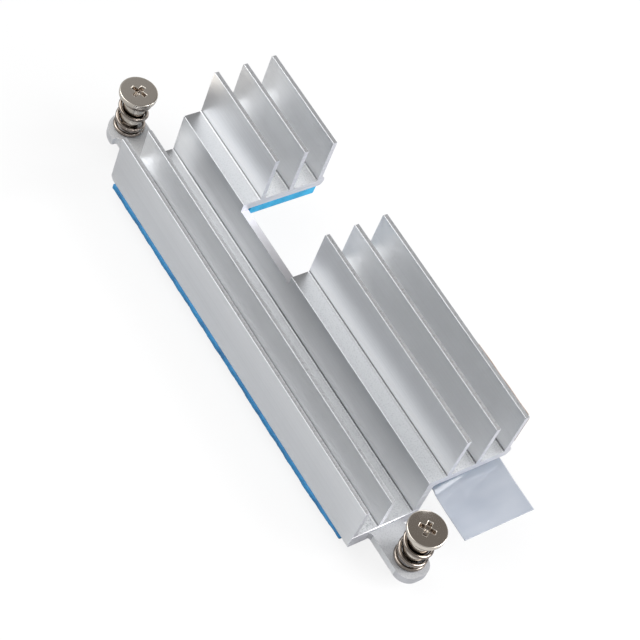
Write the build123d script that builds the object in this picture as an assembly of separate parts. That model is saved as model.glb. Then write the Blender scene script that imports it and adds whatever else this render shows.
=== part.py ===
from build123d import *
import os
from math import cos, pi, radians, sin, sqrt

# Heat sink for a row of voltage regulator parts, held on a circuit board by two captive spring
# screws. Lengths are in millimetres. The origin lies midway between the two screws, on the board's
# surface, which is the underside of the low thermal pad. X runs along the extruded bar towards the
# near screw, Y runs across the bar from its low side to its high side, and Z points away from the
# board.

# Places of the bar and the screws
bar_length = 100.4
near_screw_gap = 8.15  # from the bar's near end to the near screw's axis
far_screw_gap = 9.95  # from the bar's far end to the far screw's axis
screw_to_left_face = 9.5

# Section of the bar: the low side
low_base_thickness = 4.0
low_fin_thickness = 1.0
low_fin_height = 9.6
low_fin_pitch = 6.47
low_fin_count = 2
riser_offset = 15.24  # from the bar's left face to the riser's left face
riser_thickness = 1.8

# Section of the bar: the high side
high_base_height = 15.33  # from the bar's underside to the top of the high base
high_base_thickness = 2.0
high_fin_offset = 4.41  # from the riser's left face to the first high fin
high_fin_thickness = 1.03
high_fin_height = 12.97
high_fin_pitch = 7.45
high_fin_count = 3
bead_bulge = 0.9  # the rounded bead along the high base's outer edge
bead_rise = 1.05

# Rounding of the section
root_radius = 0.4
tip_radius = 0.1
corner_radius = 0.4
fin_end_radius = 0.3

# The notch milled through the high side
notch_start = 26.0  # from the bar's far end
notch_length = 20.2
notch_corner_radius = 1.8
notch_overcut = 2.4  # the cutter passes the riser's left face by this much
notch_depth_below_base = 0.3

# The two screw tabs, milled from the low base
tab_thickness = 2.0
tab_rise = 1.0  # from the bar's underside to the tabs' underside
tab_root_radius = 1.0
far_relief_length = 1.4  # the cutter runs out under the bar's far end
near_tab_low_half = 4.55  # from the screw's axis to the tab's edge on the low side
near_tab_high_half = 3.3
near_tab_reach = 4.8  # from the screw's axis to the tab's end
near_tab_low_corner = 3.5
near_tab_high_corner = 3.0
far_neck_half_width = 4.1
far_lobe_radius = 5.45
far_lobe_shift = 1.55  # from the screw's axis towards the bar
far_lobe_back = 2.35  # from the screw's axis to the lobe's back edge
far_lobe_fillet = 0.5

# Captive screws
head_radius = 4.3
head_thickness = 1.25
head_edge_radius = 0.2
shoulder_radius = 2.65
shank_radius = 2.0
thread_radius = 1.5
thread_length = 3.2
tip_chamfer = 0.4
groove_radius = 1.75
collar_length = 0.6  # the full shank left below the clip's groove
recess_width = 3.6
recess_slot = 0.85
recess_depth = 1.0
recess_taper = 14.0
press_travel = 3.0

# Retaining clips
clip_thickness = 0.6
clip_radius = 3.2
clip_mouth = 2.2
clip_relief_radius = 0.55
clip_relief_angle = 62.0

# Springs
spring_height = 10.4
spring_radius = 3.6
wire_radius = 0.42
active_turns = 2.85
closed_turns = 0.69
pitch_blend = 0.12  # in turns, where the wire leaves or joins a closed end
spring_start_angle = 59.2
points_per_turn = 16

# Running clearances
running_clearance = 0.05
seat_clearance = 0.05

# Thermal pads, liner and tape
low_pad_thickness = 1.5
low_pad_far_margin = 1.6
low_pad_near_margin = 2.5
low_pad_side_margin = 0.4
low_pad_overhang = 0.2  # past the bar's left face
high_pad_thickness = 2.5
high_pad_side_gap = 0.65
high_pad_width = 17.3
high_pad_end_margin = 0.3
near_pad_setback = 1.5  # from the bar's near end
liner_thickness = 0.15
liner_tab_length = 12.6
liner_width = 18.2
tape_thickness = 0.2
tape_length = 19.6
tape_height = 10.0

# Places worked out from the sizes above
screw_pitch = far_screw_gap + bar_length + near_screw_gap
near_screw_x = screw_pitch / 2
far_screw_x = -screw_pitch / 2
bar_far = far_screw_x + far_screw_gap
bar_near = near_screw_x - near_screw_gap
left_face = -screw_to_left_face
riser_left = left_face + riser_offset
riser_right = riser_left + riser_thickness
underside = low_pad_thickness
low_base_top = underside + low_base_thickness
low_fin_top = low_base_top + low_fin_height
high_base_top = underside + high_base_height
high_base_under = high_base_top - high_base_thickness
high_fin_top = high_base_top + high_fin_height
first_high_fin = riser_left + high_fin_offset
right_face = first_high_fin + (high_fin_count - 1) * high_fin_pitch + high_fin_thickness
notch_far = bar_far + notch_start
notch_near = notch_far + notch_length
notch_floor = high_base_under - notch_depth_below_base
tab_underside = underside + tab_rise
tab_top = tab_underside + tab_thickness
head_under = tab_top + spring_height
high_pad_left = riser_right + high_pad_side_gap
high_pad_under = high_base_under - high_pad_thickness


def block(x0, x1, y0, y1, z0, z1):
    """A rectangular solid between two corners."""
    middle = ((x0 + x1) / 2, (y0 + y1) / 2, (z0 + z1) / 2)
    return Pos(*middle) * Box(x1 - x0, y1 - y0, z1 - z0)


def round_bar(x, y, radius, z0, z1):
    """A cylinder along Z."""
    return Pos(x, y, (z0 + z1) / 2) * Cylinder(radius, z1 - z0)


def fin_outline(left, thickness, root, top):
    """Four corners of one fin, from its right root over its tip to its left root."""
    right = left + thickness
    return [(right, root), (right, top), (left, top), (left, root)]


def rounded(face, corners, radius):
    """The face with a radius on the corners that lie at the given places."""
    chosen = []
    for y, z in corners:
        here = Vector(y, z, 0)
        chosen.append(min(face.vertices(), key=lambda v: (Vector(v.X, v.Y, v.Z) - here).length))
    return fillet(chosen, radius)


def bar_section():
    """The extruded section in Y and Z: two fins on the low base, the riser, three fins on the high base."""
    bead_top = high_base_top + bead_rise
    bead_middle = (right_face + bead_bulge, (high_base_under + bead_top) / 2)
    high_fins = []
    for n in reversed(range(high_fin_count)):
        left = first_high_fin + n * high_fin_pitch
        high_fins += fin_outline(left, high_fin_thickness, high_base_top, high_fin_top)
    low_fins = []
    for n in reversed(range(1, low_fin_count)):
        left = left_face + n * low_fin_pitch
        low_fins += fin_outline(left, low_fin_thickness, low_base_top, low_fin_top)
    left_fin_right = left_face + low_fin_thickness
    lower = [
        (left_face, low_fin_top),
        (left_face, underside),
        (riser_right, underside),
        (riser_right, high_base_under),
        (right_face, high_base_under),
    ]
    upper = (
        [(right_face, bead_top)]
        + high_fins[1:]
        + [(riser_left, high_base_top), (riser_left, low_base_top)]
        + low_fins
        + [(left_fin_right, low_base_top), (left_fin_right, low_fin_top), (left_face, low_fin_top)]
    )
    bead = ThreePointArc(lower[-1], bead_middle, upper[0])
    face = make_face(Polyline(*lower) + bead + Polyline(*upper))

    roots = [p for p in high_fins[1:] if p[1] == high_base_top]
    roots += [(riser_left, low_base_top)]
    roots += [p for p in low_fins if p[1] == low_base_top]
    roots += [(left_fin_right, low_base_top)]
    tips = [p for p in high_fins if p[1] == high_fin_top]
    tips += [p for p in low_fins if p[1] == low_fin_top]
    tips += [(left_face, low_fin_top), (left_fin_right, low_fin_top), (riser_left, high_base_top)]
    face = rounded(face, roots, root_radius)
    face = rounded(face, tips, min(tip_radius, 0.4 * min(low_fin_thickness, high_fin_thickness)))
    corners = [(left_face, underside), (riser_right, high_base_under), (riser_right, underside)]
    return rounded(face, corners, min(corner_radius, 0.6 * high_pad_side_gap))


def notch_cutter():
    """The milled pocket: a plan with two round corners, open towards the high side."""
    outer = right_face + bead_bulge + 1.0
    inner = riser_left - notch_overcut
    plan = Pos((notch_far + notch_near) / 2, (inner + outer) / 2) * Rectangle(notch_length, outer - inner)
    plan = rounded(plan, [(notch_far, inner), (notch_near, inner)], notch_corner_radius)
    return Pos(0, 0, notch_floor) * extrude(plan, high_fin_top + 1.0 - notch_floor)


def fin_end_cutter(x):
    """What rounds off the top corner of the high fins at the end that faces the far screw."""
    r = fin_end_radius
    y0 = first_high_fin - 1.0
    y1 = right_face + 1.0
    corner = block(x - 1.0, x + r, y0, y1, high_fin_top - r, high_fin_top + 1.0)
    rod = Pos(x + r, (y0 + y1) / 2, high_fin_top - r) * Rot(90, 0, 0) * Cylinder(r, y1 - y0 + 1.0)
    return corner - rod


def root_corner(x, y, toward_x, toward_y):
    """What fills the inner corner between a tab's side and the bar's end with a radius."""
    r = tab_root_radius
    corner = Pos(x + toward_x * r / 2, y + toward_y * r / 2) * Rectangle(r, r)
    return corner - Pos(x + toward_x * r, y + toward_y * r) * Circle(r)


def far_relief():
    """The wedge that the cutter takes off under the bar's far end."""
    edge, inner = bar_far - 0.14, bar_far + far_relief_length
    corners = [(edge, underside - 0.1), (inner, underside - 0.1), (inner, underside)]
    corners += [(bar_far, underside + tab_rise), (edge, underside + tab_rise)]
    plan = make_face(Plane.XZ * Polyline(*corners, close=True))
    middle = (left_face + riser_right) / 2
    return Pos(0, middle, 0) * extrude(plan, riser_right - left_face, both=True)


def near_tab():
    """A plain tab with two round corners, wider towards the low side."""
    root = bar_near - near_tab_low_half
    end = near_screw_x + near_tab_reach
    low, high = -near_tab_low_half, near_tab_high_half
    plan = Pos((root + end) / 2, (low + high) / 2) * Rectangle(end - root, high - low)
    plan = rounded(plan, [(end, high)], near_tab_high_corner)
    plan = rounded(plan, [(end, low)], near_tab_low_corner)
    plan += root_corner(bar_near, high, 1, 1) + root_corner(bar_near, low, 1, -1)
    return Pos(0, 0, tab_underside) * extrude(plan, tab_thickness)


def far_tab():
    """A neck with a round lobe towards the low side, and a straight edge towards the high side."""
    centre = far_screw_x + far_lobe_shift
    back = far_screw_x + far_lobe_back
    half_back = sqrt(far_lobe_radius**2 - (back - centre) ** 2)
    root = bar_far + far_neck_half_width
    lobe = Pos(centre, 0) * Circle(far_lobe_radius)
    lobe -= Pos(back + far_lobe_radius, 0) * Rectangle(2 * far_lobe_radius, 4 * far_lobe_radius)
    lobe -= Pos(centre, far_neck_half_width + far_lobe_radius) * Rectangle(
        4 * far_lobe_radius, 2 * far_lobe_radius
    )
    neck = Pos((centre + root) / 2, 0) * Rectangle(root - centre, 2 * far_neck_half_width)
    plan = lobe + neck
    corners = [(back, -far_neck_half_width), (back, -half_back)]
    step = half_back - far_neck_half_width
    plan = rounded(plan, corners, min(far_lobe_fillet, 0.45 * step))
    for side in (1, -1):
        plan += root_corner(bar_far, side * far_neck_half_width, -1, side)
    return Pos(0, 0, tab_underside) * extrude(plan, tab_thickness)


def heat_sink():
    """One piece of aluminium: the extruded bar, notched, with a tab left at each end."""
    bar = extrude(Plane.YZ.offset(bar_far) * bar_section(), bar_length)
    bar -= notch_cutter()
    bar -= fin_end_cutter(bar_far)
    bar -= fin_end_cutter(notch_near)
    bar -= far_relief()
    sink = bar + near_tab() + far_tab()
    for x in (near_screw_x, far_screw_x):
        sink -= round_bar(x, 0, shank_radius + running_clearance, tab_underside - 1.0, tab_top + 1.0)
    return sink


def captive_screw(x):
    """Disc head with a cross recess, wide shoulder, shank through the tab, groove and threaded tip."""
    head_top = head_under + head_thickness
    shoulder_end = tab_top + press_travel + seat_clearance
    clip_top = tab_underside - seat_clearance
    groove_top = clip_top + running_clearance
    groove_end = clip_top - clip_thickness - running_clearance
    collar_end = groove_end - collar_length
    tip = collar_end - thread_length

    head = round_bar(x, 0, head_radius, head_under, head_top)
    head = fillet(head.edges().filter_by(GeomType.CIRCLE), head_edge_radius)
    slot = Rectangle(recess_width, recess_slot) + Rectangle(recess_slot, recess_width)
    recess = extrude(Pos(x, 0, head_top) * slot, -recess_depth, taper=recess_taper)
    body = head - recess
    body += round_bar(x, 0, shoulder_radius, shoulder_end, head_under)
    body += round_bar(x, 0, shank_radius, groove_top, shoulder_end)
    body += round_bar(x, 0, groove_radius, groove_end, groove_top)
    body += round_bar(x, 0, shank_radius, collar_end, groove_end)
    thread = round_bar(x, 0, thread_radius, tip, collar_end)
    thread = chamfer(thread.edges().group_by(Axis.Z)[0], tip_chamfer)
    return body + thread


def retaining_clip(x, turn):
    """A flat snap ring with an open mouth, seated in the screw's groove under the tab."""
    top = tab_underside - seat_clearance
    bore = groove_radius + running_clearance
    plan = Circle(clip_radius) - Circle(bore)
    plan -= Pos(clip_radius, 0) * Rectangle(2 * clip_radius, clip_mouth)
    reach = bore + clip_relief_radius * 0.7
    for side in (1, -1):
        a = radians(side * (180.0 - clip_relief_angle))
        plan -= Pos(reach * cos(a), reach * sin(a)) * Circle(clip_relief_radius)
    return Pos(x, 0, top - clip_thickness) * Rot(0, 0, turn) * extrude(plan, clip_thickness)


def coil_height(turn, first, last):
    """Height of the wire's centre after so many turns, level at both closed ends."""
    pitch = (last - first) / (active_turns - pitch_blend)
    along = min(max(turn - closed_turns, 0.0), active_turns)
    left = active_turns - along
    if along < pitch_blend:
        return first + pitch * along**2 / (2 * pitch_blend)
    if left < pitch_blend:
        return last - pitch * left**2 / (2 * pitch_blend)
    return first + pitch * (along - pitch_blend / 2)


def spring(x):
    """A left-hand compression spring with closed ends, between the tab and the screw's head."""
    mean_radius = spring_radius - wire_radius
    lowest = tab_top + wire_radius + seat_clearance
    highest = head_under - wire_radius - seat_clearance
    turns = 2 * closed_turns + active_turns
    steps = round(turns * points_per_turn)
    points = []
    for n in range(steps + 1):
        turn = turns * n / steps
        angle = radians(spring_start_angle) - 2 * pi * turn
        z = coil_height(turn, lowest, highest)
        points.append((x + mean_radius * cos(angle), mean_radius * sin(angle), z))
    path = Spline(*points)
    section = Plane(origin=path @ 0, z_dir=path % 0) * Circle(wire_radius)
    return sweep(section, path=path, is_frenet=True)


def low_thermal_pad():
    """The pad between the low base and the board's parts, just proud of the left face."""
    return block(
        bar_far + low_pad_far_margin,
        bar_near - low_pad_near_margin,
        left_face - low_pad_overhang,
        riser_right - low_pad_side_margin,
        0.0,
        underside,
    )


def high_thermal_pad(x0, x1):
    """A pad under the high base."""
    return block(x0, x1, high_pad_left, high_pad_left + high_pad_width, high_pad_under, high_base_under)


def release_liner():
    """The clear film that still covers the near pad, with its pull tab past the bar's end."""
    return block(
        notch_near + high_pad_end_margin,
        bar_near + liner_tab_length - high_pad_end_margin,
        high_pad_left,
        high_pad_left + liner_width,
        high_pad_under - liner_thickness,
        high_pad_under,
    )


def insulating_tape():
    """A strip of amber tape on the outer face of the last fin, at the near end."""
    return block(
        bar_near - tape_length,
        bar_near,
        right_face,
        right_face + tape_thickness,
        high_fin_top - tip_radius - tape_height,
        high_fin_top - tip_radius,
    )


parts = {
    "heat_sink": heat_sink(),
    "low_thermal_pad": low_thermal_pad(),
    "far_thermal_pad": high_thermal_pad(bar_far + high_pad_end_margin, notch_far),
    "near_thermal_pad": high_thermal_pad(notch_near + high_pad_end_margin, bar_near - near_pad_setback),
    "release_liner": release_liner(),
    "insulating_tape": insulating_tape(),
    "near_screw": captive_screw(near_screw_x),
    "far_screw": captive_screw(far_screw_x),
    "near_retaining_clip": retaining_clip(near_screw_x, 0.0),
    "far_retaining_clip": retaining_clip(far_screw_x, 180.0),
    "near_spring": spring(near_screw_x),
    "far_spring": spring(far_screw_x),
}

os.makedirs("parts", exist_ok=True)
for name, shape in parts.items():
    export_step(shape, f"parts/{name}.step")
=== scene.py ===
import bmesh
import bpy
import numpy as np
from mathutils import Matrix, Vector


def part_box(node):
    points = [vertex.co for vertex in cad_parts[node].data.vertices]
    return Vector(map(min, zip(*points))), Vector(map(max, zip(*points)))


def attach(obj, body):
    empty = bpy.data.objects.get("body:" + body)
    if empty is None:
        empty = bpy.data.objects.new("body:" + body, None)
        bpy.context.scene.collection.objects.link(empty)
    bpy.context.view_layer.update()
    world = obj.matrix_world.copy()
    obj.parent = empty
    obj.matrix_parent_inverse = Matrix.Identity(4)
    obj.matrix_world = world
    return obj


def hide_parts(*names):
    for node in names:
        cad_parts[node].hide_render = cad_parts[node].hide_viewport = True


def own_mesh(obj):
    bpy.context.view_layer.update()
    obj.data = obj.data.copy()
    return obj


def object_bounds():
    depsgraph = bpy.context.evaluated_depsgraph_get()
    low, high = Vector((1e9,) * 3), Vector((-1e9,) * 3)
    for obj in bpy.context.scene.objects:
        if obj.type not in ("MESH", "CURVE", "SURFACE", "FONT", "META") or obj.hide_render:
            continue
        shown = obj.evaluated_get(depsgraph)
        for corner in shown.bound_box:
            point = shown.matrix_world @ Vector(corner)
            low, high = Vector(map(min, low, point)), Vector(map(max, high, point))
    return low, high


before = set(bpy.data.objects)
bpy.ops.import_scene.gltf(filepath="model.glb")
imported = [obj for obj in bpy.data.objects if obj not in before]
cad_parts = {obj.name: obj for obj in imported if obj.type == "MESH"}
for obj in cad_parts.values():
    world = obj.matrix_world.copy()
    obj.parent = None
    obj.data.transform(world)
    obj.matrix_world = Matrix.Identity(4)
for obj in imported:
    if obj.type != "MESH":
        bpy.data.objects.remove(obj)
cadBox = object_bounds()
mm = 0.001
turn = 2 * np.pi


def boxMm(node):  # a node's lowest and highest corner, in millimetres
    low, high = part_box(node)
    return np.array(low) / mm, np.array(high) / mm


def linear(hexText):  # an sRGB hex colour as linear light
    channels = [int(hexText[i:i + 2], 16) / 255 for i in (1, 3, 5)]
    lit = [c / 12.92 if c <= 0.04045 else ((c + 0.055) / 1.055) ** 2.4 for c in channels]
    return (*lit, 1.0)


def addNode(tree, kind, inputs=None, **settings):  # one shader node with its settings and links
    node = tree.nodes.new("ShaderNode" + kind)
    for key, value in settings.items():
        setattr(node, key, value)
    for key, value in (inputs or {}).items():
        if isinstance(value, bpy.types.NodeSocket):
            tree.links.new(value, node.inputs[key])
        else:
            node.inputs[key].default_value = value
    return node


def newMaterial(name):  # an empty node material, its tree and its output
    material = bpy.data.materials.new(name)
    material.use_nodes = True
    material.node_tree.nodes.clear()
    output = addNode(material.node_tree, "OutputMaterial")
    return material, material.node_tree, output


def grains(x, y, z):  # noise scale for grains of these sizes in millimetres along each axis
    return (1 / (x * mm), 1 / (y * mm), 1 / (z * mm))


# Extruded 6063 aluminium, left bare after sawing and milling. The die draws fine lines along the
# bar, the channel floors keep a grainy skin, and the sawn faces are fresher, paler and softer.
extrusionLook = {
    "colours": {
        "skin": "#F8F9FA",
        "dieLine": "#F4F5F6",
        "streak": "#FAFBFC",
        "tip": "#EFF0F2",  # the narrow tops of the fins
        "handled": "#EBECEE",  # multiplied in where hands and packing reach
        "levelShade": "#BBBCBE",  # level faces, painted darker: painted shade
        # painted shade on the tabs' tops; the far tab's top is painted paler, as painted light
        "tab": "#C3C4C6",
        "litFarTab": "#DCDDDE",
        "floor": "#AAABAD",  # level faces on both sides of the riser, painted darker still: painted shade
        "speck": "#939597",
        "nook": "#606164",  # painted shade deep between the fins
        "root": "#7E7F83",  # painted shade along the lines where the fins stand on the base
        # the same painted shade, paler
        "paleRoot": "#AEAFB2",
        "milled": "#C6C6CA",  # beside the notch: a milled tone, painted darker like the other level faces as painted shade
        "cut": "#E6E6EB",  # sawn ends
        "cutMark": "#DADBE1",
        "edge": "#C4C5C9",  # the edges of the tabs, painted darker at the near tab: painted shade
        # the far tab's edges, painted paler: painted light
        "litFarEdge": "#F0F1F3",
        "highlight": "#F4F4F8",  # painted highlight on the near end of the milled fin and on the lip of the base there
    },
    "patterns": {  # grain sizes along the bar, across it and upwards in mm, tilt, and detail
        "lines": ((50, 0.3, 0.3), 0, 3),  # three times as coarse as the real ones, so that they show
        "streaks": ((110, 2.2, 2.2), 0, 2),
        "specks": ((0.3, 0.3, 0.3), 0, 2),
        "sawMarks": ((0.42, 5, 0.42), 0.2, 2),
    },
    "hollows": {"nook": 10, "root": 0.9},  # how far off a neighbouring face is felt, in mm
    "hollowSamples": 8,
    "places": {  # axis and comparison, then in mm the place and how far each side of it still counts
        "high": ("Z", "GREATER_THAN", 5.3, 0),  # above the tabs' level
        "low": ("Z", "LESS_THAN", 5.5, 0),  # below the top of the low base
        "near": ("X", "GREATER_THAN", 0, 0),
        "highSide": ("Y", "GREATER_THAN", 5.6, 0),  # past the fillet at the riser's foot
        "shadedFloors": ("Y", "COMPARE", 4.15, 6.2),
        "firstChannel": ("Y", "COMPARE", -5.75, 2.9),
        "notch": ("X", "COMPARE", -13.2, 10.1),
        "bar": ("X", "COMPARE", 0.9, 50.3),
        "lipLevel": ("Z", "COMPARE", 5.3, 0.21),
        "highlightFin": ("Y", "COMPARE", -2.53, 0.55),
        "firstFinEdge": ("Y", "COMPARE", -8.72, 0.22),
        "secondFinEdge": ("Y", "COMPARE", -2.25, 0.22),
    },
    "ranges": {  # what is read, from where to where, and the two values that this gives
        "cut": ("endways", 0.75, 0.9, 0, 1),  # faces across the bar
        "edge": ("endways", 0.03, 0.1, 0, 1),  # faces that turn towards an end at all
        "level": ("up", 0.9, 0.99, 0, 1),
        "lined": ("lines", 0.4, 0.65, 0, 1),
        "streaked": ("streaks", 0.35, 0.7, 0, 0.6),
        "specked": ("specks", 0.5, 0.7, 0, 0.9),
        "sawn": ("sawMarks", 0.35, 0.65, 0, 1),
        "free": ("nook", 0.85, 0.96, 0, 1),  # nothing stands near
        "handled": ("nook", 0.6, 0.92, 0, 1),
        "nookShade": ("nook", 0.55, 0.2, 0, 0.8),  # much stands near
        "creaseShade": ("root", 0.88, 0.74, 0, 0.72),
        "filleted": ("root", 0.98, 0.92, 0, 1),
        "roughness": ("lines", 0.3, 0.7, 0.37, 0.45),
    },
    "slope": (0.52, 0.4),  # the upward part of a fillet's normal, give or take
    "wornStretch": (-40, 5),  # specks gather over this stretch of the bar, in mm
    "farSpecks": 0.6,
    "tabSpecks": 0.45,
    "paleStretch": (15, -42),  # the painted shade of the root lines grows paler over this one
    "layerRoughness": {  # laid on in this order
        "level": 0.4,
        "tab": 0.6,
        "tip": 0.46,
        "firstFinEdge": 0.56,
        "secondFinEdge": 0.56,
        "cut": 0.6,
        "highlight": 0.25,
        "lip": 0.42,
    },
    "lipNormal": (0.5, 0.06, 0.86),
    "lipHeight": 0.5,
    "relief": 0.004,  # depth of the lines, specks and saw marks in mm
    "bumpStrength": 0.15,
}


def extrudedAluminium():
    # Masks tell what kind of face a point lies on, and noise gives its grain. Colours and
    # roughness are laid over each other, from the whole bar down to single edges.
    look = extrusionLook
    material, tree, output = newMaterial("extrudedAluminium")
    spot = addNode(tree, "TexCoord").outputs
    at = addNode(tree, "SeparateXYZ", {"Vector": spot["Object"]}).outputs
    facing = addNode(tree, "SeparateXYZ", {"Vector": spot["Normal"]}).outputs
    masks = {"up": facing["Z"]}
    masks["endways"] = addNode(tree, "Math", {0: facing["X"]}, operation="ABSOLUTE").outputs[0]
    for name, (sizes, tilt, detail) in look["patterns"].items():
        grid = addNode(tree, "Mapping", {
            "Vector": spot["Object"], "Scale": grains(*sizes), "Rotation": (tilt, 0, 0)})
        masks[name] = addNode(tree, "TexNoise", {
            "Vector": grid.outputs[0], "Scale": 1.0, "Detail": detail}).outputs["Fac"]
    for name, reach in look["hollows"].items():
        masks[name] = addNode(
            tree, "AmbientOcclusion", {"Distance": reach * mm},
            samples=look["hollowSamples"]).outputs["AO"]
    for name, (axis, operation, place, half) in look["places"].items():
        masks[name] = addNode(
            tree, "Math", {0: at[axis], 1: place * mm, 2: half * mm}, operation=operation).outputs[0]
    for name, (source, start, end, first, last) in look["ranges"].items():
        masks[name] = addNode(tree, "MapRange", {
            "Value": masks[source], "From Min": start, "From Max": end,
            "To Min": first, "To Max": last}).outputs[0]
    middle, half = look["slope"]
    masks["slope"] = addNode(
        tree, "Math", {0: masks["up"], 1: middle, 2: half}, operation="COMPARE").outputs[0]
    # specks show more towards the near end, the painted root shade less in the first channel and far
    # away
    start, end = look["wornStretch"]
    masks["worn"] = addNode(tree, "MapRange", {
        "Value": at["X"], "From Min": start * mm, "From Max": end * mm,
        "To Min": look["farSpecks"]}).outputs[0]
    start, end = look["paleStretch"]
    masks["pale"] = addNode(tree, "MapRange", {
        "Value": at["X"], "From Min": start * mm, "From Max": end * mm,
        "To Min": masks["firstChannel"]}).outputs[0]
    # each row makes a mask from two that stand before it
    for name, first, operation, second in (
            ("raised", "level", "MULTIPLY", "high"),
            ("floor", "raised", "MULTIPLY", "shadedFloors"),
            ("tip", "raised", "MULTIPLY", "free"),
            ("firstFinEdge", "firstFinEdge", "MULTIPLY", "tip"),
            ("secondFinEdge", "secondFinEdge", "MULTIPLY", "tip"),
            ("tab", "level", "SUBTRACT", "high"),
            ("specked", "specked", "MULTIPLY", "level"),
            ("specked", "specked", "MULTIPLY", "worn"),
            ("nookShade", "nookShade", "MULTIPLY", "floor"),
            ("filleted", "filleted", "MULTIPLY", "slope"),
            ("creaseShade", "creaseShade", "MAXIMUM", "filleted"),
            ("creaseShade", "creaseShade", "MULTIPLY", "high"),
            ("milled", "notch", "MULTIPLY", "highSide"),
            ("milled", "milled", "MULTIPLY", "level"),
            ("edge", "edge", "MULTIPLY", "low"),
            ("edge", "edge", "SUBTRACT", "bar"),
            ("highlight", "highlightFin", "SUBTRACT", "low"),
            ("highlight", "highlight", "MAXIMUM", "lipLevel"),
            ("highlight", "highlight", "MULTIPLY", "cut"),
            ("highlight", "highlight", "MULTIPLY", "near"),
            ("lip", "lipLevel", "MULTIPLY", "highlight")):
        masks[name] = addNode(
            tree, "Math", {0: masks[first], 1: masks[second]},
            operation=operation, use_clamp=True).outputs[0]
    quiet = addNode(tree, "MapRange", {
        "Value": masks["tab"], "To Min": 1.0, "To Max": look["tabSpecks"]}).outputs[0]
    masks["specked"] = addNode(
        tree, "Math", {0: masks["specked"], 1: quiet}, operation="MULTIPLY").outputs[0]
    # colours that are themselves mixed from two
    colours = {name: linear(code) for name, code in look["colours"].items()}
    for name, share, first, second in (
            ("tab", "near", "litFarTab", "tab"), ("edge", "near", "litFarEdge", "edge"),
            ("root", "pale", "root", "paleRoot"), ("cut", "sawn", "cut", "cutMark")):
        colours[name] = addNode(tree, "Mix", {
            0: masks[share], 6: colours[first], 7: colours[second]}, data_type="RGBA").outputs[2]
    # painted shade goes on level faces, tabs, floors, nooks, root lines and the near tab's edges,
    # painted light on the far tab and its edges, and painted highlight on the near end
    colour = colours["skin"]
    for share, name, blend in (
            ("lined", "dieLine", "MIX"), ("streaked", "streak", "MIX"), ("tip", "tip", "MIX"),
            ("handled", "handled", "MULTIPLY"), ("level", "levelShade", "MIX"), ("tab", "tab", "MIX"),
            ("floor", "floor", "MIX"), ("specked", "speck", "MIX"), ("nookShade", "nook", "MIX"),
            ("creaseShade", "root", "MIX"), ("milled", "milled", "MIX"), ("cut", "cut", "MIX"),
            ("edge", "edge", "MIX"), ("highlight", "highlight", "MIX")):
        colour = addNode(
            tree, "Mix", {0: masks[share], 6: colour, 7: colours[name]},
            data_type="RGBA", blend_type=blend).outputs[2]
    # the lines vary the skin's roughness slightly; handling has burnished both low fins' edges
    rough = masks["roughness"]
    for name, value in look["layerRoughness"].items():
        rough = addNode(tree, "Mix", {0: masks[name], 2: rough, 3: value}).outputs[0]
    relief = masks["lines"]
    for share, height in (
            ("level", masks["specks"]), ("cut", masks["sawMarks"]), ("lip", look["lipHeight"])):
        relief = addNode(tree, "Mix", {0: masks[share], 2: relief, 3: height}).outputs[0]
    # the lip of the near end is broken by the saw, so that it catches the light from above
    normal = addNode(
        tree, "Mix", {0: masks["lip"], 4: spot["Normal"], 5: look["lipNormal"]},
        data_type="VECTOR").outputs[1]
    bump = addNode(tree, "Bump", {
        "Strength": look["bumpStrength"], "Distance": look["relief"] * mm,
        "Height": relief, "Normal": normal})
    shader = addNode(tree, "BsdfPrincipled", {
        "Base Color": colour, "Metallic": 1.0, "Roughness": rough, "Normal": bump.outputs[0]})
    tree.links.new(shader.outputs[0], output.inputs["Surface"])
    return material


# Bright nickel plate on turned or drawn steel: a warm mirror, softened by fine marks that are
# sharper on the wire than on the screw. In hollows its colour is painted dark brown, as painted
# shade and painted reflection.
nickelLook = {
    "screw": {
        "plate": "#D2CBC1", "worn": "#C4BBB0", "hollow": "#5E4028", "hollowReach": 1.1,
        "hollowShare": 0.85, "roughness": (0.1, 0.17), "markSize": 0.7, "relief": 0.001},
    # the wire's colours are painted darker than the screw's, as painted shade
    "wire": {
        "plate": "#968D85", "worn": "#82786F", "hollow": "#1E1610", "hollowReach": 1.8,
        "hollowShare": 0.95, "roughness": (0.03, 0.1), "markSize": 1.2, "relief": 0.0005},
    "clip": {
        "plate": "#B9B7B3", "worn": "#A3A09B", "hollow": "#4A443E", "hollowReach": 1.0,
        "hollowShare": 0.8, "roughness": (0.27, 0.34), "markSize": 0.3, "relief": 0.003},
    "markDetail": 3,
    "wornRange": (0.45, 0.8),  # of the noise that draws the marks
    "wornShare": 0.5,
    "roughRange": (0.3, 0.7),
    "hollowRange": (0.85, 0.3),  # from open to closed in
    "hollowSamples": 8,
    "bumpStrength": 0.2,
}


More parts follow.
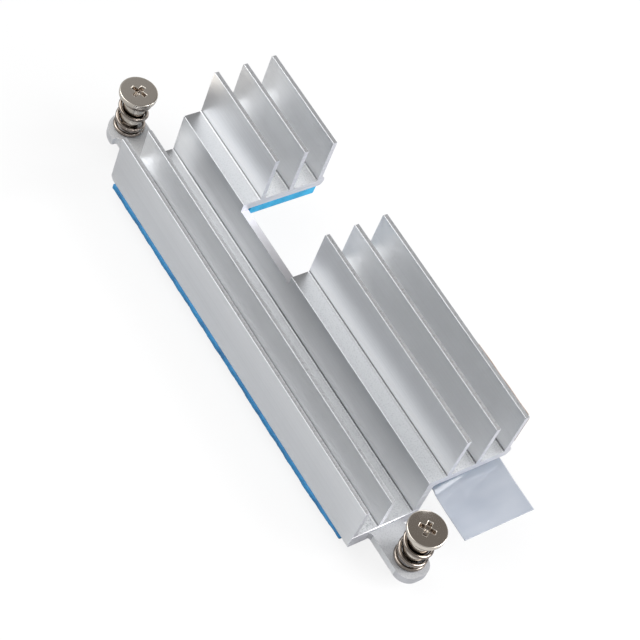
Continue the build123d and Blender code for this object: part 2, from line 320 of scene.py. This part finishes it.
def nickelPlate(name, look):
    # Noise marks wear the plate and vary its roughness, and hollows are painted darker, as painted
    # shade.
    material, tree, output = newMaterial(name)
    place = addNode(tree, "TexCoord").outputs["Object"]
    size = look["markSize"]
    marks = addNode(tree, "Mapping", {"Vector": place, "Scale": grains(size, size, size)})
    marks = addNode(tree, "TexNoise", {
        "Vector": marks.outputs[0], "Scale": 1.0,
        "Detail": nickelLook["markDetail"]}).outputs["Fac"]
    start, end = nickelLook["wornRange"]
    share = addNode(tree, "MapRange", {
        "Value": marks, "From Min": start, "From Max": end,
        "To Max": nickelLook["wornShare"]}).outputs[0]
    colour = addNode(
        tree, "Mix", {0: share, 6: linear(look["plate"]), 7: linear(look["worn"])},
        data_type="RGBA")
    # painted shade: the plate turns to its hollow colour where an ambient occlusion mask closes in
    hollow = addNode(
        tree, "AmbientOcclusion", {"Distance": look["hollowReach"] * mm},
        samples=nickelLook["hollowSamples"]).outputs["AO"]
    start, end = nickelLook["hollowRange"]
    share = addNode(tree, "MapRange", {
        "Value": hollow, "From Min": start, "From Max": end,
        "To Max": look["hollowShare"]}).outputs[0]
    colour = addNode(
        tree, "Mix", {0: share, 6: colour.outputs[2], 7: linear(look["hollow"])},
        data_type="RGBA")
    start, end = nickelLook["roughRange"]
    low, high = look["roughness"]
    rough = addNode(tree, "MapRange", {
        "Value": marks, "From Min": start, "From Max": end, "To Min": low, "To Max": high})
    bump = addNode(tree, "Bump", {
        "Strength": nickelLook["bumpStrength"], "Distance": look["relief"] * mm, "Height": marks})
    shader = addNode(tree, "BsdfPrincipled", {
        "Base Color": colour.outputs[2], "Metallic": 1.0,
        "Roughness": rough.outputs[0], "Normal": bump.outputs[0]})
    tree.links.new(shader.outputs[0], output.inputs["Surface"])
    return material


# Filled silicone pad: soft, matt and bright blue, with ceramic grains that show at its cut edges
padLook = {
    "usual": {"body": "#38B0DE", "deep": "#2898C6", "grain": "#1C3A50"},
    # the "worn" blues are painted shade: darker copies of the others, for the low pad
    "worn": {"body": "#2A86BC", "deep": "#1C6698", "grain": "#123048"},
    "clouds": (2.8, 3),  # grain size in mm and detail
    "bits": (0.6, 4),
    "deepRange": (0.35, 0.7),
    "grainRange": (0.68, 0.76),
    "grainShare": 0.7,
    "roughness": 0.6,
    "relief": 0.05,
    "bumpStrength": 0.5,
}


def filledSilicone(name, colours):
    # Soft clouds of two blues, with dark grains where a finer noise peaks.
    look = padLook
    material, tree, output = newMaterial(name)
    place = addNode(tree, "TexCoord").outputs["Object"]
    noise = {}
    for pattern in ("clouds", "bits"):
        size, detail = look[pattern]
        grid = addNode(tree, "Mapping", {"Vector": place, "Scale": grains(size, size, size)})
        noise[pattern] = addNode(tree, "TexNoise", {
            "Vector": grid.outputs[0], "Scale": 1.0, "Detail": detail}).outputs["Fac"]
    start, end = look["deepRange"]
    share = addNode(tree, "MapRange", {
        "Value": noise["clouds"], "From Min": start, "From Max": end}).outputs[0]
    colour = addNode(
        tree, "Mix", {0: share, 6: linear(colours["body"]), 7: linear(colours["deep"])},
        data_type="RGBA")
    start, end = look["grainRange"]
    share = addNode(tree, "MapRange", {
        "Value": noise["bits"], "From Min": start, "From Max": end,
        "To Max": look["grainShare"]}).outputs[0]
    colour = addNode(
        tree, "Mix", {0: share, 6: colour.outputs[2], 7: linear(colours["grain"])},
        data_type="RGBA")
    bump = addNode(tree, "Bump", {
        "Strength": look["bumpStrength"], "Distance": look["relief"] * mm,
        "Height": noise["bits"]})
    shader = addNode(tree, "BsdfPrincipled", {
        "Base Color": colour.outputs[2], "Roughness": look["roughness"],
        "Normal": bump.outputs[0]})
    tree.links.new(shader.outputs[0], output.inputs["Surface"])
    return material


# Cast film, polyester for the liner and polyimide for the tape: glossy and see-through, with a
# faint haze where it has been handled
filmLook = {
    "liner": {"body": "#939AA6", "haze": "#C8CCD3", "cover": 0.72, "roughness": 0.1, "hazeSize": 8},
    "tape": {"body": "#8E5C1E", "haze": "#A8742E", "cover": 0.94, "roughness": 0.15, "hazeSize": 5},
    "hazeWidth": 20,
    "hazeDetail": 2,
    "hazeRange": (0.35, 0.65),
    "hazeShare": 0.35,
}


def castFilm(name, look):
    # One body colour with soft bands of haze across it, seen through by a fixed share.
    material, tree, output = newMaterial(name)
    place = addNode(tree, "TexCoord").outputs["Object"]
    size = look["hazeSize"]
    haze = addNode(tree, "Mapping", {
        "Vector": place, "Scale": grains(size, filmLook["hazeWidth"], size)})
    haze = addNode(tree, "TexNoise", {
        "Vector": haze.outputs[0], "Scale": 1.0,
        "Detail": filmLook["hazeDetail"]}).outputs["Fac"]
    start, end = filmLook["hazeRange"]
    share = addNode(tree, "MapRange", {
        "Value": haze, "From Min": start, "From Max": end,
        "To Max": filmLook["hazeShare"]}).outputs[0]
    colour = addNode(
        tree, "Mix", {0: share, 6: linear(look["body"]), 7: linear(look["haze"])},
        data_type="RGBA")
    shader = addNode(tree, "BsdfPrincipled", {
        "Base Color": colour.outputs[2], "Roughness": look["roughness"], "Alpha": look["cover"]})
    tree.links.new(shader.outputs[0], output.inputs["Surface"])
    return material


aluminium = extrudedAluminium()
screwNickel = nickelPlate("nickelPlatedScrew", nickelLook["screw"])
wireNickel = nickelPlate("nickelPlatedWire", nickelLook["wire"])
clipSteel = nickelPlate("nickelPlatedClip", nickelLook["clip"])
usualSilicone = filledSilicone("filledSilicone", padLook["usual"])
shadedSilicone = filledSilicone("filledSiliconeShaded", padLook["worn"])
linerFilm = castFilm("clearPolyester", filmLook["liner"])
amberFilm = castFilm("amberPolyimide", filmLook["tape"])
print("materials made")

weld = 0.002  # points nearer to each other than this, in mm, become one


def gridMesh(name, points, material, closed=False):
    # A sheet of quads on a grid of points (rows, columns, 3) in millimetres. Its columns may close
    # on themselves, and rows whose points coincide are poles, merged into one point.
    rows, columns = points.shape[:2]
    index = np.arange(rows * columns).reshape(rows, columns)
    if closed:
        index = np.hstack([index, index[:, :1]])
    quads = np.stack([index[:-1, :-1], index[:-1, 1:], index[1:, 1:], index[1:, :-1]], axis=-1)
    mesh = bpy.data.meshes.new(name)
    mesh.from_pydata((points.reshape(-1, 3) * mm).tolist(), [], quads.reshape(-1, 4).tolist())
    piece = bpy.data.objects.new(name, mesh)
    bpy.context.scene.collection.objects.link(piece)
    mesh.materials.append(material)
    solid = bmesh.new()
    solid.from_mesh(mesh)
    bmesh.ops.remove_doubles(solid, verts=solid.verts, dist=weld * mm)
    bmesh.ops.recalc_face_normals(solid, faces=solid.faces)
    solid.to_mesh(mesh)
    solid.free()
    mesh.shade_smooth()
    return piece


def smoothStep(value, low, high):  # 0 below low, 1 above high, with a soft S between
    t = np.clip((value - low) / (high - low), 0, 1)
    return t * t * (3 - 2 * t)


def wobble(t, seed, size):  # a smooth, repeatable unevenness: a few waves of unlike lengths
    waves = np.array([0.31, 0.83, 1.9, 4.3])
    phases = np.array([1.7, 4.1, 2.3, 5.9]) * (seed + 1.3)
    heights = np.array([1.0, 0.7, 0.45, 0.25]) / 2.4
    return size * sum(h * np.sin(w * t + p) for w, p, h in zip(waves, phases, heights))


# Captive screw: a turned disc head with a cross recess, wide shoulder, shank, clip groove and thread
screwShape = {
    "columns": 168,
    "recessRows": 40,
    "rimRows": 12,
    "threadRows": 72,
    "recessField": 2.1,  # the head's middle, which is divided finely
    "rimStart": 2.2,
    "edgeRadius": 0.2,
    "edgeRows": 6,
    "headThickness": 1.25,
    "shoulderRadius": 2.65,
    "shankRadius": 2.0,
    "grooveRadius": 1.75,
    "threadRadius": 1.5,
    "threadDepth": 0.28,
    "threadPitch": 0.5,
    "threadSteepness": 1.3,
    "threadGap": 0.01,  # below the collar
    "threadRunIn": (0.1, 0.5),
    "threadLength": 3.2,
    "collarLength": 0.6,
    "grooveLength": 0.7,
    "shoulderEnd": 8.6,  # below the head's top
    "headFillet": (0.25, 0.07),  # its radius, and how far in its middle lies
    "shoulderChamfer": 0.15,
    "footFillet": 0.03,
    "grooveChamfer": 0.05,
    "collarChamfers": (0.1, 0.15),
    "cornerHold": 0.05,  # a second row beside a corner keeps the shading crisp there
    "tipChamfer": (0.35, 0.3),  # inwards and upwards
    "tipRing": 0.6,
    "recessTurn": {"near": 0.969, "far": 1.13},  # in radians
    "recessReach": 1.95,
    "recessHalfWidth": 0.58,
    "recessTaper": 0.12,
    "recessDepth": 1.25,
    "slotFlat": 0.6,  # shares of the slot's reach and of the recess's depth
    "slotDepth": 0.85,
    "coreFlat": 0.2,
    "recessCore": 0.95,
    "recessWall": 0.1,
}


def recessDepth(x, y, shape):
    # Cross recess: the deeper of two slots whose floor rises towards their ends, and a round core.
    depth = np.zeros_like(x)
    reach = shape["recessReach"]
    for along, across in ((x, y), (y, x)):
        width = shape["recessHalfWidth"] * (1 - shape["recessTaper"] * np.abs(along) / reach)
        inside = 1 - smoothStep(np.abs(across), width - shape["recessWall"], width)
        floor = 1 - smoothStep(np.abs(along), shape["slotFlat"] * reach, reach)
        depth = np.maximum(depth, inside * floor * shape["slotDepth"])
    core = 1 - smoothStep(np.hypot(x, y), shape["coreFlat"], shape["recessCore"])
    return shape["recessDepth"] * np.maximum(depth, core)


def screwGrid(axis, headRadius, top, bottom, recessTurn):
    # A profile of radius and height turned about the screw's axis, from the head's centre to the
    # tip. The recess lowers the head's top, and the thread is a ridge that climbs as it turns.
    s = screwShape
    angles = turn * np.arange(s["columns"]) / s["columns"]
    edge = s["edgeRadius"]
    arc = np.linspace(0, np.pi / 2, s["edgeRows"])
    headBottom = top - s["headThickness"]
    shoulderBottom = top - s["shoulderEnd"]
    collarEnd = bottom + s["threadLength"]
    grooveEnd = collarEnd + s["collarLength"]
    grooveTop = grooveEnd + s["grooveLength"]
    topRows = s["recessRows"] + s["rimRows"]
    radius = [
        np.linspace(0, s["recessField"], s["recessRows"]),
        np.linspace(s["rimStart"], headRadius - edge, s["rimRows"]),
        headRadius - edge + edge * np.sin(arc), headRadius - edge + edge * np.cos(arc)]
    height = [
        np.full(topRows, top), top - edge + edge * np.cos(arc),
        headBottom + edge - edge * np.sin(arc)]
    shoulder, shank, groove = s["shoulderRadius"], s["shankRadius"], s["grooveRadius"]
    fillet, filletMiddle = s["headFillet"]
    chamfer, foot, hold = s["shoulderChamfer"], s["footFillet"], s["cornerHold"]
    grooveChamfer, (collarTop, collarFoot) = s["grooveChamfer"], s["collarChamfers"]
    steps = np.array([
        (shoulder + fillet, headBottom), (shoulder + filletMiddle, headBottom - filletMiddle),
        (shoulder, headBottom - fillet), (shoulder, headBottom - fillet - hold),
        (shoulder, shoulderBottom + chamfer + hold), (shoulder, shoulderBottom + chamfer),
        (shoulder - chamfer, shoulderBottom), (shank + foot, shoulderBottom),
        (shank, shoulderBottom - foot), (shank, shoulderBottom - foot - hold),
        (shank, grooveTop + grooveChamfer + hold), (shank, grooveTop + grooveChamfer),
        (shank - grooveChamfer, grooveTop), (groove, grooveTop),
        (groove, grooveEnd), (shank - collarTop, grooveEnd),
        (shank, grooveEnd - collarTop), (shank, collarEnd + collarFoot),
        (shank - collarFoot, collarEnd), (s["threadRadius"], collarEnd),
    ])
    tipInset, tipHeight = s["tipChamfer"]
    threadHeights = np.linspace(collarEnd - s["threadGap"], bottom + tipHeight, s["threadRows"])
    tip = np.array([s["threadRadius"] - tipInset, s["tipRing"], 0.0])
    radius += [steps[:, 0], np.full(s["threadRows"], s["threadRadius"]), tip]
    height += [steps[:, 1], threadHeights, np.full(len(tip), bottom)]
    r = np.repeat(np.concatenate(radius)[:, None], s["columns"], axis=1)
    z = np.repeat(np.concatenate(height)[:, None], s["columns"], axis=1)
    row = np.arange(len(r))[:, None]
    threadEnd = len(r) - len(tip)
    onThread = (row >= threadEnd - s["threadRows"]) & (row < threadEnd)
    phase = (z / s["threadPitch"] - angles / turn) % 1.0
    ridge = np.minimum(2 * np.minimum(phase, 1 - phase) * s["threadSteepness"], 1.0)
    cutDepth = s["threadDepth"] * (1 - ridge) * smoothStep(collarEnd - z, *s["threadRunIn"])
    r = r - np.where(onThread, cutDepth, 0)
    x, y = r * np.cos(angles), r * np.sin(angles)
    turned = angles + recessTurn
    recess = recessDepth(r * np.cos(turned), r * np.sin(turned), s)
    z = z - np.where(row < topRows, recess, 0)
    return np.stack([x + axis[0], y + axis[1], z], axis=-1)


# Compression spring: left-hand wire with a closed, ground coil at each end
springShape = {
    "outerRadius": 3.6,
    "wireRadius": 0.45,
    "activeTurns": 2.85,
    "closedTurns": 0.69,
    "blendTurns": 0.12,
    "startAngle": 59.2,
    "perTurn": 72,
    "around": 20,
    "grind": 0.12,
    "endTaper": 0.85,
    "seatClearance": 0.05,
}


def springGrid(axis, low, high):
    # A circle of wire carried along a left-hand helix. Height stays level over the closed turns and
    # rises evenly between them, with a short blend; the ends are ground flat.
    s = springShape
    wire = s["wireRadius"]
    mean = s["outerRadius"] - wire
    turns = 2 * s["closedTurns"] + s["activeTurns"]
    t = np.linspace(0, turns, int(turns * s["perTurn"]) + 1)
    along = np.clip(t - s["closedTurns"], 0, s["activeTurns"])
    left = s["activeTurns"] - along
    b = s["blendTurns"]
    risen = np.where(along < b, along**2 / (2 * b), along - b / 2)
    risen = np.where(left < b, s["activeTurns"] - b - left**2 / (2 * b), risen)
    first, last = low + wire - s["grind"], high - wire + s["grind"]
    z = first + (last - first) * risen / (s["activeTurns"] - b)
    theta = np.radians(s["startAngle"]) - turn * t
    path = np.stack([mean * np.cos(theta), mean * np.sin(theta), z], axis=-1)
    forward = np.gradient(path, axis=0)
    forward /= np.linalg.norm(forward, axis=1, keepdims=True)
    outward = np.stack([np.cos(theta), np.sin(theta), np.zeros_like(theta)], axis=-1)
    upward = np.cross(outward, forward)
    upward /= np.linalg.norm(upward, axis=1, keepdims=True)
    circle = turn * np.arange(s["around"]) / s["around"]
    offset = (np.cos(circle)[None, :, None] * outward[:, None]
              + np.sin(circle)[None, :, None] * upward[:, None])
    thick = np.full(len(t) + 4, wire)
    thick[[0, 1, -2, -1]] = [0, s["endTaper"] * wire, s["endTaper"] * wire, 0]
    rows = np.concatenate([[0, 0], np.arange(len(t)), [len(t) - 1] * 2])
    points = path[rows][:, None] + thick[:, None, None] * offset[rows]
    points[..., 2] = np.clip(points[..., 2], low, high)
    return points + np.array([axis[0], axis[1], 0])


for side in ("near", "far"):
    low, high = boxMm(side + "_screw")
    axis = (low + high)[:2] / 2
    turned = screwGrid(
        axis, (high[0] - low[0]) / 2, high[2], low[2], screwShape["recessTurn"][side])
    screw = gridMesh(side + "ScrewTurned", turned, screwNickel, closed=True)
    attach(screw, side + "_screw")
    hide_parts(side + "_screw")
    tabTop = boxMm(side + "_spring")[0][2] - springShape["seatClearance"]
    headUnder = high[2] - screwShape["headThickness"]
    wound = springGrid(axis, tabTop, headUnder)
    coil = gridMesh(side + "SpringCoil", wound, wireNickel, closed=True)
    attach(coil, "heat_sink")
    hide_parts(side + "_spring")
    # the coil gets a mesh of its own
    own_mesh(coil)
    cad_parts[side + "_retaining_clip"].material_slots[0].material = clipSteel
print("screws and springs made")


# Silicone pads: hand-cut slabs with soft edges that wander a little
padShape = {
    "edgeRadius": 0.35,
    "perSide": 10,
    "across": 24,
    "lengthStep": 0.6,
    "topGap": 0.02,
    "sideRow": 0.8,
    "endInset": (1.0, 0.6, 0.25, 0.06, 0.0),  # shares of the edge radius that round the ends
    "endReach": (0.0, 0.02, 0.15, 0.45, 1.0),
    "wander": 0.17,
    "taperLength": 15,
    "nearTaper": {"low": 0.7, "far": 0.0, "near": 0.0},
}


def padGrid(low, high, seed, nearTaper):
    # A rounded rectangle carried along the bar, closed at both ends. Its lower edge and sides
    # wander by a few waves, and its underside may rise towards the near end.
    s = padShape
    edge = s["edgeRadius"]
    rows = int((high[0] - low[0]) / s["lengthStep"])
    inset, reach = edge * np.array(s["endInset"]), edge * np.array(s["endReach"])
    between = np.linspace(low[0] + edge, high[0] - edge, rows)[1:-1]
    x = np.concatenate([low[0] + reach, between, high[0] - reach[::-1]])
    shrink = np.concatenate([inset, np.zeros(rows - 2), inset[::-1]])
    corner = np.linspace(0, np.pi / 2, s["perSide"])
    y0, z0 = low[1] + edge, low[2] + edge
    y1, z1 = high[1] - edge, high[2] - s["topGap"]
    inner = s["across"] - 2
    y = np.concatenate([
        y0 - edge * np.cos(corner), np.linspace(y0, y1, s["across"])[1:-1],
        y1 + edge * np.sin(corner), [high[1], high[1]],
        np.linspace(high[1], low[1], s["across"])[1:-1], [low[1], low[1]]])
    z = np.concatenate([
        z0 - edge * np.sin(corner), np.full(inner, low[2]), z0 - edge * np.cos(corner),
        [z0 + s["sideRow"], z1], np.full(inner, z1), [z1, z0 + s["sideRow"]]])
    middle = (low + high)[1:] / 2
    half = (high - low)[1:] / 2
    ys = middle[0] + (y - middle[0]) * (1 - shrink[:, None] / half[0])
    zs = middle[1] + (z - middle[1]) * (1 - shrink[:, None] / half[1])
    lower = (high[2] - zs) / (high[2] - low[2])
    lift = wobble(x, seed, s["wander"])
    lift = lift + nearTaper * smoothStep(x, high[0] - s["taperLength"], high[0])
    zs = zs + lower * lift[:, None]
    sidePush = np.where(
        ys < middle[0], wobble(x, seed + 2, s["wander"])[:, None],
        wobble(x, seed + 5, s["wander"])[:, None])
    ys = ys + lower * sidePush
    grid = np.stack([np.repeat(x[:, None], len(y), axis=1), ys, zs], axis=-1)
    firstPole = np.repeat(grid[:1].mean(axis=1, keepdims=True), len(y), axis=1)
    lastPole = np.repeat(grid[-1:].mean(axis=1, keepdims=True), len(y), axis=1)
    return np.concatenate([firstPole, grid, lastPole])


for number, (node, taper) in enumerate(padShape["nearTaper"].items()):
    low, high = boxMm(node + "_thermal_pad")
    # the low pad gets the darker blues, which are painted shade
    silicone = shadedSilicone if node == "low" else usualSilicone
    slab = padGrid(low, high, number, taper)
    pad = gridMesh(node + "SiliconePad", slab, silicone, closed=True)
    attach(pad, "heat_sink")
    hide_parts(node + "_thermal_pad")
print("pads made")


# Release liner: clear film under the near pad, with a free pull tab that waves slightly
linerShape = {
    "rows": (50, 100),  # under the pad, and on the pull tab
    "columns": 60,
    "thickness": 0.05,
    "topGap": 0.03,
    "dip": 0.35,
    "dipLength": 8,
    "ridge": 0.36,
    "ridgeWidth": 0.75,
    "ridgeStart": 1.6,
    "ridgeSlant": 3.2,
    "ridgeRunIn": 1.2,
}


def linerGrid(low, high, padEnd):
    # Height over the plan: flat under the pad, then a low slanting ridge and a long shallow dip.
    s = linerShape
    under, beyond = s["rows"]
    along = np.concatenate([
        np.linspace(low[0], padEnd, under), np.linspace(padEnd, high[0], beyond)[1:]])
    x, y = np.meshgrid(along, np.linspace(low[1], high[1], s["columns"]), indexing="ij")
    free = np.clip(x - padEnd, 0, None)
    across = (y - low[1]) / (high[1] - low[1])
    fromRidge = (free - s["ridgeStart"] + s["ridgeSlant"] * across) / s["ridgeWidth"]
    ridge = s["ridge"] * np.exp(-fromRidge**2) * smoothStep(free, 0, s["ridgeRunIn"])
    z = high[2] - s["topGap"] - s["dip"] * smoothStep(free, 0, s["dipLength"]) + ridge
    return np.stack([x, y, z], axis=-1)


def thicken(sheet, thickness):  # gives a sheet its wall, on the side that its faces point to
    wall = sheet.modifiers.new("thickness", "SOLIDIFY")
    wall.thickness = thickness * mm
    wall.offset = 1.0


low, high = boxMm("release_liner")
padEnd = boxMm("near_thermal_pad")[1][0]
liner = gridMesh("releaseLinerFilm", linerGrid(low, high, padEnd), linerFilm)
thicken(liner, linerShape["thickness"])
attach(liner, "heat_sink")
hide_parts("release_liner")

# Amber tape: thin film pressed on the outer face of the last fin, with its corners rounded off
tapeShape = {
    "rows": 60,
    "columns": 30,
    "thickness": 0.07,
    "cornerRadius": 0.8,
    "finGap": 0.08,
    "unevenness": 0.03,
    "waves": (0.9, 0.7),  # radians per mm along and up
}


def tapeGrid(low, high):
    # A rectangle on the fin's face whose corners are cut round, with the film's slight unevenness.
    s = tapeShape
    u, v = np.meshgrid(
        np.linspace(0, 1, s["rows"]), np.linspace(0, 1, s["columns"]), indexing="ij")
    z = low[2] + (high[2] - low[2]) * v
    fromEdge = np.minimum(z - low[2], high[2] - z)
    r = s["cornerRadius"]
    pull = r - np.sqrt(np.clip(r**2 - np.clip(r - fromEdge, 0, None) ** 2, 0, None))
    x = low[0] + pull + (high[0] - low[0] - 2 * pull) * u
    alongWave, upWave = s["waves"]
    y = low[1] + s["finGap"] + s["unevenness"] * np.sin(alongWave * x) * np.sin(upWave * z)
    return np.stack([x, y, z], axis=-1)


low, high = boxMm("insulating_tape")
tape = gridMesh("amberTapeFilm", tapeGrid(low, high), amberFilm)
thicken(tape, tapeShape["thickness"])
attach(tape, "heat_sink")
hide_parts("insulating_tape")
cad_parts["heat_sink"].material_slots[0].material = aluminium
print("film and tape made")


# Studio: a white paper sweep in a pale room that darkens towards its horizon, with three brighter
# patches, a darker one and two soft lamps. The camera stands where the photograph's did.
studio = {
    "floorHalf": 3.0,
    "paper": (0.52, 0.52, 0.52, 1),
    "farPaper": (0.43, 0.43, 0.43, 1),  # painted shadow: past the far end the paper is painted darker
    "farStretch": (-48, -57),
    # how much plain white covers the lit paper, as seen by the camera or through film, and in metal
    "floorCover": {"camera": 0.75, "mirror": 0.08},
    "whiteLevel": 1.1,
    "ceiling": (0.6, 0.605, 0.615, 1),
    "horizon": (0.05, 0.05, 0.055, 1),
    "horizonRise": (0.08, 0.34),  # how steeply one looks up where the room turns pale
    "patches": [  # direction, the cosines of the outer and inner edge, and the colour
        ((-0.5, -0.46, 0.73), 0.76, 0.94, (2.4, 2.4, 2.38, 1)),
        ((-0.15, 0.52, 0.84), 0.87, 0.975, (0.22, 0.205, 0.195, 1)),
        ((0.45, 0.55, 0.7), 0.85, 0.96, (1.7, 1.7, 1.75, 1)),
        ((-0.385, 0.9, 0.15), 0.9, 0.97, (1.5, 1.5, 1.5, 1)),
    ],
    "lamps": {  # place and side in metres, and power in watts
        "farSoftbox": ((-0.85, -0.55, 0.88), 0.6, 3.5),
        "nearSoftbox": ((0.6, 0.8, 0.8), 0.8, 15),
    },
}
cameraView = {
    "place": (0.1692, -0.2048, 0.3500),  # in metres
    "right": (0.5140, 0.8150, 0.2670),
    "up": (-0.7703, 0.3014, 0.5619),
    "lens": 115.23,  # both in mm
    "sensor": 36.0,
}


def makeFloor(height):  # a level square of paper that the camera sees as white, with its shadow
    half = studio["floorHalf"]
    corners = [(x * half, y * half, height) for x, y in ((-1, -1), (1, -1), (1, 1), (-1, 1))]
    mesh = bpy.data.meshes.new("floor")
    mesh.from_pydata(corners, [], [(0, 1, 2, 3)])
    floor = bpy.data.objects.new("floor", mesh)
    bpy.context.scene.collection.objects.link(floor)
    material, tree, output = newMaterial("whitePaperSweep")
    path = addNode(tree, "LightPath").outputs
    seen = addNode(
        tree, "Math", {0: path["Is Camera Ray"], 1: path["Is Transmission Ray"]},
        operation="MAXIMUM").outputs[0]
    cover = studio["floorCover"]
    mirrored = addNode(
        tree, "Math", {0: path["Is Glossy Ray"], 1: cover["mirror"]},
        operation="MULTIPLY").outputs[0]
    share = addNode(
        tree, "Math", {0: seen, 1: cover["camera"], 2: mirrored},
        operation="MULTIPLY_ADD").outputs[0]
    place = addNode(tree, "TexCoord").outputs["Object"]
    place = addNode(tree, "SeparateXYZ", {"Vector": place}).outputs["X"]
    start, end = studio["farStretch"]
    far = addNode(tree, "MapRange", {
        "Value": place, "From Min": start * mm, "From Max": end * mm}).outputs[0]
    grey = addNode(
        tree, "Mix", {0: far, 6: studio["paper"], 7: studio["farPaper"]}, data_type="RGBA")
    paper = addNode(tree, "BsdfDiffuse", {"Color": grey.outputs[2]})
    white = addNode(tree, "Emission", {"Color": (1, 1, 1, 1), "Strength": studio["whiteLevel"]})
    both = addNode(tree, "MixShader", {0: share, 1: paper.outputs[0], 2: white.outputs[0]})
    tree.links.new(both.outputs[0], output.inputs["Surface"])
    mesh.materials.append(material)


def makeWorld():  # a room whose brightness rises with height, with a few patches laid over it
    world = bpy.data.worlds.new("paleRoom")
    world.use_nodes = True
    bpy.context.scene.world = world
    tree = world.node_tree
    tree.nodes.clear()
    toward = addNode(tree, "TexCoord").outputs["Generated"]
    rise = addNode(tree, "SeparateXYZ", {"Vector": toward}).outputs["Z"]
    start, end = studio["horizonRise"]
    share = addNode(
        tree, "MapRange", {"Value": rise, "From Min": start, "From Max": end},
        interpolation_type="SMOOTHSTEP")
    room = addNode(
        tree, "Mix", {0: share.outputs[0], 6: studio["horizon"], 7: studio["ceiling"]},
        data_type="RGBA")
    for place, outer, inner, colour in studio["patches"]:
        near = addNode(
            tree, "VectorMath", {0: toward, 1: Vector(place).normalized()},
            operation="DOT_PRODUCT")
        share = addNode(
            tree, "MapRange", {"Value": near.outputs["Value"], "From Min": outer, "From Max": inner},
            interpolation_type="SMOOTHSTEP")
        room = addNode(
            tree, "Mix", {0: share.outputs[0], 6: room.outputs[2], 7: colour}, data_type="RGBA")
    seen = addNode(tree, "LightPath").outputs["Is Camera Ray"]
    shown = addNode(tree, "Mix", {0: seen, 6: room.outputs[2], 7: (1, 1, 1, 1)}, data_type="RGBA")
    back = addNode(tree, "Background", {"Color": shown.outputs[2]})
    output = addNode(tree, "OutputWorld")
    tree.links.new(back.outputs[0], output.inputs["Surface"])


def softLamp(name, place, side, power):  # a square soft light that aims at the object
    data = bpy.data.lights.new(name, "AREA")
    data.shape = "RECTANGLE"
    data.size = data.size_y = side
    data.energy = power
    lamp = bpy.data.objects.new(name, data)
    bpy.context.scene.collection.objects.link(lamp)
    aim = (-Vector(place)).to_track_quat("-Z", "Y")
    lamp.matrix_world = Matrix.LocRotScale(Vector(place), aim, None)


makeFloor(cadBox[0].z)
makeWorld()
for name, (place, side, power) in studio["lamps"].items():
    softLamp(name, place, side, power)

camera = bpy.data.objects.new("camera", bpy.data.cameras.new("camera"))
bpy.context.scene.collection.objects.link(camera)
camera.data.lens = cameraView["lens"]
camera.data.sensor_width = cameraView["sensor"]
right, up = Vector(cameraView["right"]).normalized(), Vector(cameraView["up"]).normalized()
back = right.cross(up).normalized()
axes = Matrix((right, back.cross(right), back)).transposed().to_4x4()
camera.matrix_world = Matrix.Translation(cameraView["place"]) @ axes
bpy.context.scene.camera = camera
bpy.context.scene.view_settings.view_transform = "Standard"
print("studio made")
